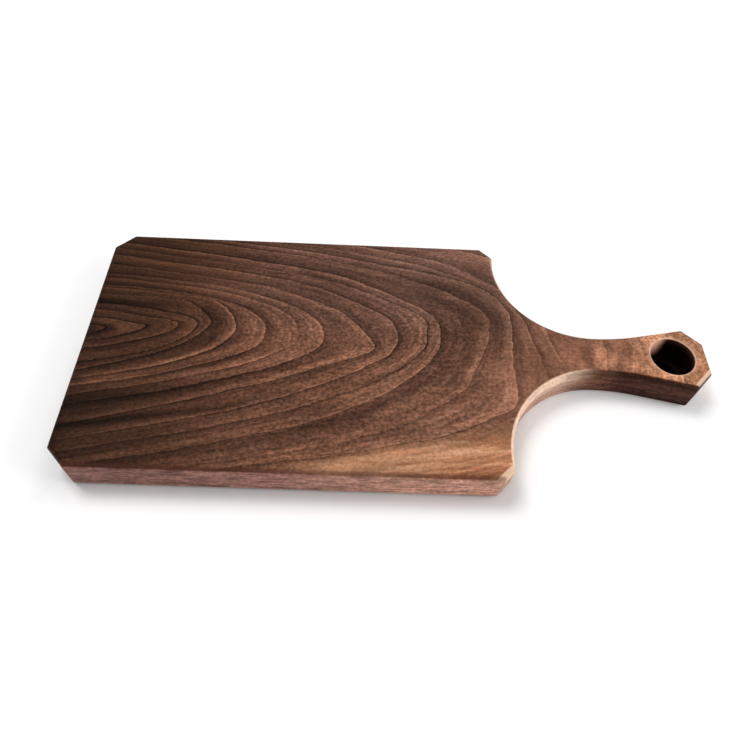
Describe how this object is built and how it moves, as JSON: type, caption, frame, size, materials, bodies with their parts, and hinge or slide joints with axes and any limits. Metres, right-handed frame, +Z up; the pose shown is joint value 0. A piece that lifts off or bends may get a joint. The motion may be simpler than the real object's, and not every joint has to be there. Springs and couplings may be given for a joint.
{
  "type": "bread board",
  "caption": "Thick wooden bread board cut from one plank, with clipped corners, hollow shoulders, a flared handle and a round hanging hole.",
  "frame": {"origin": "the middle of the board's bounding box, on the underside that it rests on", "axes": "+X runs along the grain from the far end to the handle, +Y runs across the board to the left of the handle's way, +Z is up out of the serving face"},
  "size_m": [0.445, 0.203, 0.027],
  "materials": {
    "hardwood": "oiled dark hardwood, satin"
  },
  "bodies": {
    "root": {"board": "hardwood"}
  },
  "joints": []
}
